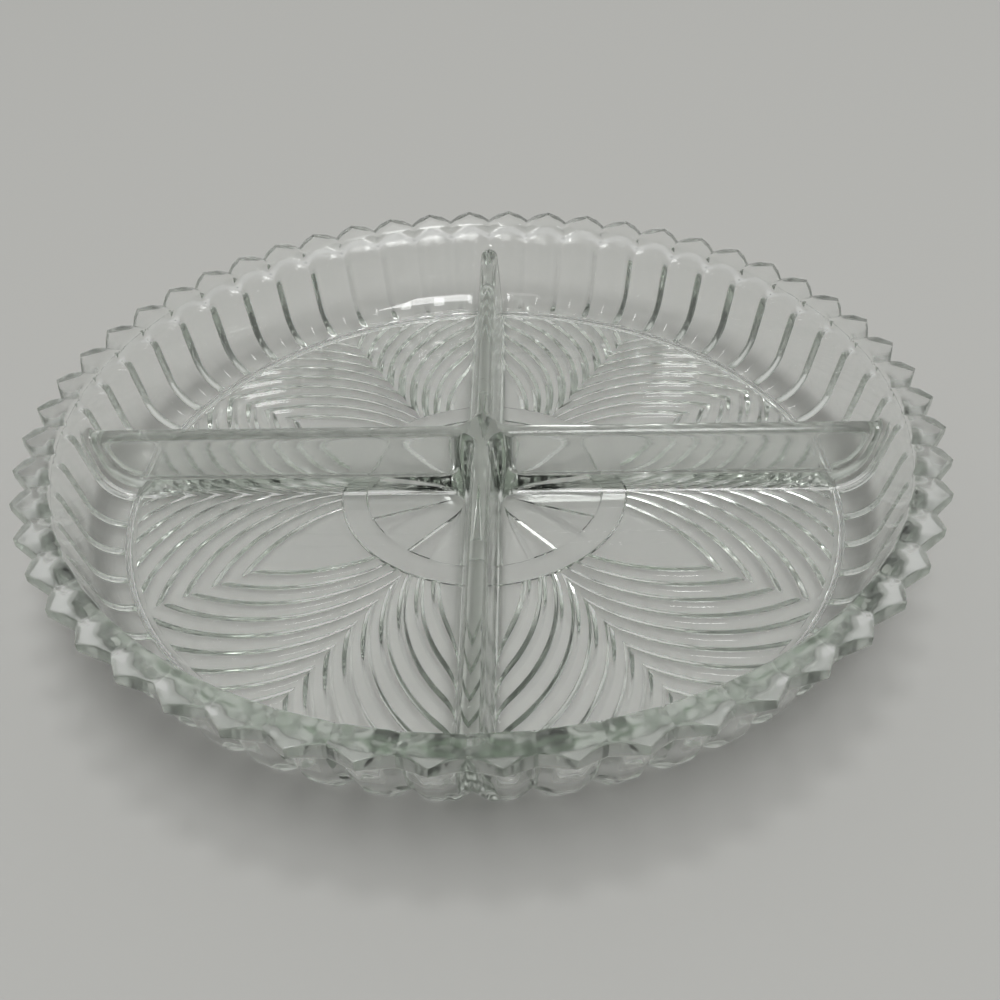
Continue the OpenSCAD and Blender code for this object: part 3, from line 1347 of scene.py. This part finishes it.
@dataclass(frozen=True)
class SoftLamp:
    """One rectangular lamp aimed at the tray, which may or may not show in the glass."""

    name: str
    place: tuple[float, float, float]
    size: tuple[float, float]
    power: float
    on_glass: bool = True

    def build(self) -> bpy.types.Object:
        """Makes the lamp, with its width level.

        Returns:
            The lamp.
        """
        data = bpy.data.lights.new(self.name, "AREA")
        data.shape = "RECTANGLE"
        data.size, data.size_y = self.size
        data.energy = self.power
        lamp = bpy.data.objects.new(self.name, data)
        lamp.location = self.place
        lamp.visible_glossy = lamp.visible_transmission = self.on_glass
        back = Vector(self.place).normalized()
        side = Vector((0, 1, 0)).cross(back).normalized()
        lamp.rotation_euler = Matrix([side, back.cross(side), back]).transposed().to_euler()
        bpy.context.collection.objects.link(lamp)
        return lamp


@dataclass(frozen=True)
class Studio:
    """Soft light: a pale wall behind the tray, a dim room before it and lamps above.

    Attributes:
        pale_side: Light from behind the tray.
        dim_side: Light from before it.
        toward: Direction of the pale side.
        dim_to: How far along that direction the dim side reaches.
        pale_from: Where along it the pale side is full.
        lamps: The lamps, in metres and watts.
        bounces: How often light is followed in all.
        glass_bounces: How often through glass.
        shine_bounces: How often in reflections.
        clear_bounces: How often through the lighter shadow.
    """

    pale_side: tuple[float, float, float] = (0.58, 0.58, 0.568)
    dim_side: tuple[float, float, float] = (0.12, 0.12, 0.117)
    toward: tuple[float, float, float] = (0.0, 1.0, 0.35)
    dim_to: float = -0.2
    pale_from: float = 0.3
    lamps: tuple[SoftLamp, ...] = (
        SoftLamp("ceiling_lamp", (0.42, -0.95, 3.1), (0.95, 1.4), 38.0),
        SoftLamp("top_lamp", (0.2, 0.9, 4.2), (1.0, 0.7), 46.0, on_glass=False),
        SoftLamp("front_lamp", (0.1, -1.6, 3.0), (1.6, 0.6), 5.0),
    )
    bounces: int = 24
    glass_bounces: int = 20
    shine_bounces: int = 8
    clear_bounces: int = 16

    def build(self) -> None:
        """Makes the lamps and the room, and sets how far light is followed."""
        for lamp in self.lamps:
            lamp.build()
        scene = bpy.context.scene
        scene.world = self.room()
        scene.view_settings.view_transform = "Standard"
        scene.cycles.max_bounces = self.bounces
        scene.cycles.transmission_bounces = self.glass_bounces
        scene.cycles.glossy_bounces = self.shine_bounces
        scene.cycles.transparent_max_bounces = self.clear_bounces

    def room(self) -> bpy.types.World:
        """Makes the room, dim on the near side and pale on the far side.

        Returns:
            The world.
        """
        world = bpy.data.worlds.new("room")
        world.use_nodes = True
        desk = NodeDesk(world.node_tree)
        share = desk.put("VectorMath")
        share.operation = "DOT_PRODUCT"
        share.inputs[1].default_value = self.toward
        desk.wire(desk.put("TexCoord").outputs["Generated"], share.inputs[0])
        fade = desk.fade(share.outputs["Value"], (self.dim_to, self.pale_from))
        fade.node.interpolation_type = "SMOOTHSTEP"
        mix = desk.put("Mix")
        mix.data_type = "RGBA"
        mix.inputs["A"].default_value = (*self.dim_side, 1)
        mix.inputs["B"].default_value = (*self.pale_side, 1)
        desk.wire(fade, mix.inputs["Factor"])
        desk.wire(mix.outputs["Result"], world.node_tree.nodes["Background"].inputs[0])
        return world


def main() -> None:
    """Builds the tray, the floor, the light and the camera, and logs the tray's face count and each part it
    builds.
    """
    logging.basicConfig(level=logging.INFO)
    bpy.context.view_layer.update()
    tray = GlassTray().build()
    log.info("%s: %d faces", tray.name, len(tray.data.polygons))
    for part in (PaleFloor(), Studio(), Viewpoint()):
        part.build()
        log.info("%s", type(part).__name__)


if __name__ == "__main__":
    main()
